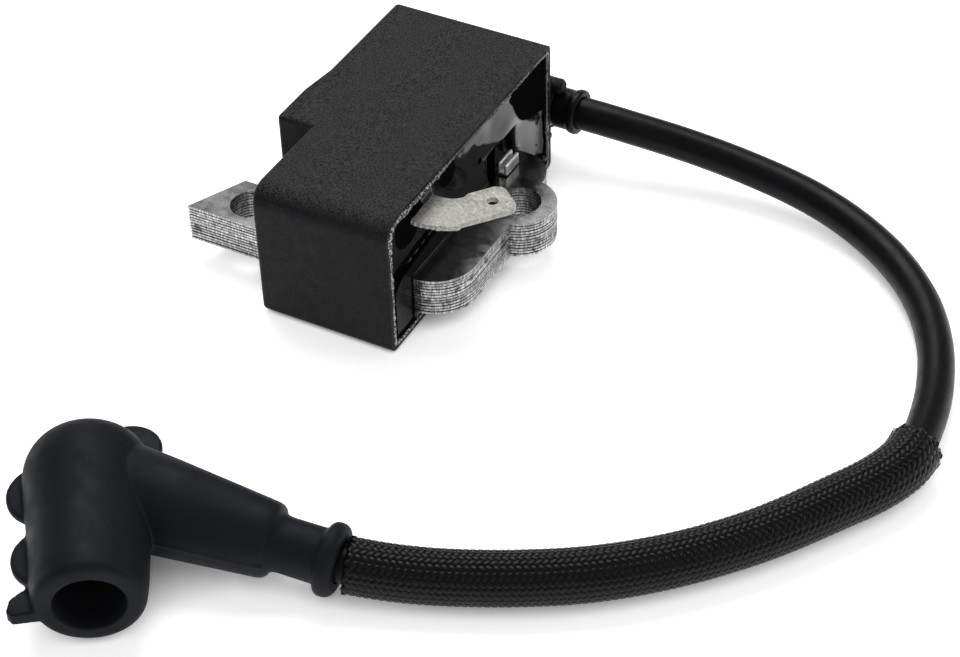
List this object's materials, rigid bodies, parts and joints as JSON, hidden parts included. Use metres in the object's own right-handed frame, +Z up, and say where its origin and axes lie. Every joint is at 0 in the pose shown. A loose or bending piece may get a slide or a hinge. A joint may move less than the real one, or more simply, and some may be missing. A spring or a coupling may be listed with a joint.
{
  "type": "small engine ignition coil",
  "caption": "Potted ignition coil on a laminated steel core, with a push-on stop terminal and a sleeved high-tension lead that ends in an angled rubber spark plug boot.",
  "frame": {"origin": "bottom centre of the coil module's bounding box, on the surface that the housing stands on; the free lead and its boot are not counted", "axes": "+Z up from the housing's base; +X from the pole ends towards the potted side with the stop terminal; +Y along the housing towards the lead tower"},
  "size_m": [0.1202, 0.1341, 0.0234],
  "materials": {
    "black_plastic": "fine moulded texture",
    "potting_resin": "glossy cast epoxy",
    "electrical_steel": "stamped and ground",
    "bobbin_plastic": "smooth moulded",
    "enamelled_copper": "enamelled copper wire",
    "fine_copper": "fine enamelled copper wire",
    "board_laminate": "glass and epoxy laminate",
    "chip_moulding": "moulded",
    "film_coating": "dipped coating",
    "tin_plate": "dull tin plating",
    "lead_jacket": "smooth, slightly glossy",
    "nylon_braid": "woven nylon",
    "boot_rubber": "matt moulded"
  },
  "bodies": {
    "module": {"housing": "black_plastic", "potting_resin": "potting_resin", "core_lamination_01": "electrical_steel", "core_lamination_02": "electrical_steel", "core_lamination_03": "electrical_steel", "core_lamination_04": "electrical_steel", "core_lamination_05": "electrical_steel", "core_lamination_06": "electrical_steel", "core_lamination_07": "electrical_steel", "core_lamination_08": "electrical_steel", "core_lamination_09": "electrical_steel", "core_lamination_10": "electrical_steel", "core_lamination_11": "electrical_steel", "core_lamination_12": "electrical_steel", "coil_bobbin": "bobbin_plastic", "primary_winding": "enamelled_copper", "secondary_bobbin": "bobbin_plastic", "secondary_winding": "fine_copper", "charge_coil_bobbin": "bobbin_plastic", "charge_coil_winding": "enamelled_copper", "circuit_board": "board_laminate", "film_capacitor": "film_coating", "switching_thyristor": "chip_moulding", "control_chip": "chip_moulding", "rectifier_diode_1": "chip_moulding", "rectifier_diode_2": "chip_moulding", "resistor": "film_coating", "ht_contact_pin": "tin_plate", "stop_terminal": "tin_plate", "ground_clip": "tin_plate", "ht_lead": "lead_jacket", "braided_sleeve": "nylon_braid", "lead_seal": "boot_rubber"},
    "boot": {"plug_boot": "boot_rubber", "boot_contact_spring": "tin_plate"}
  },
  "joints": [
    {"name": "boot_swivel", "type": "hinge", "parent": "module", "child": "boot", "pos_m": [0.0315, -0.07377, 0.00495], "axis": [-0.9807, -0.1598, 0.1129], "range_deg": [0, 180]}
  ]
}
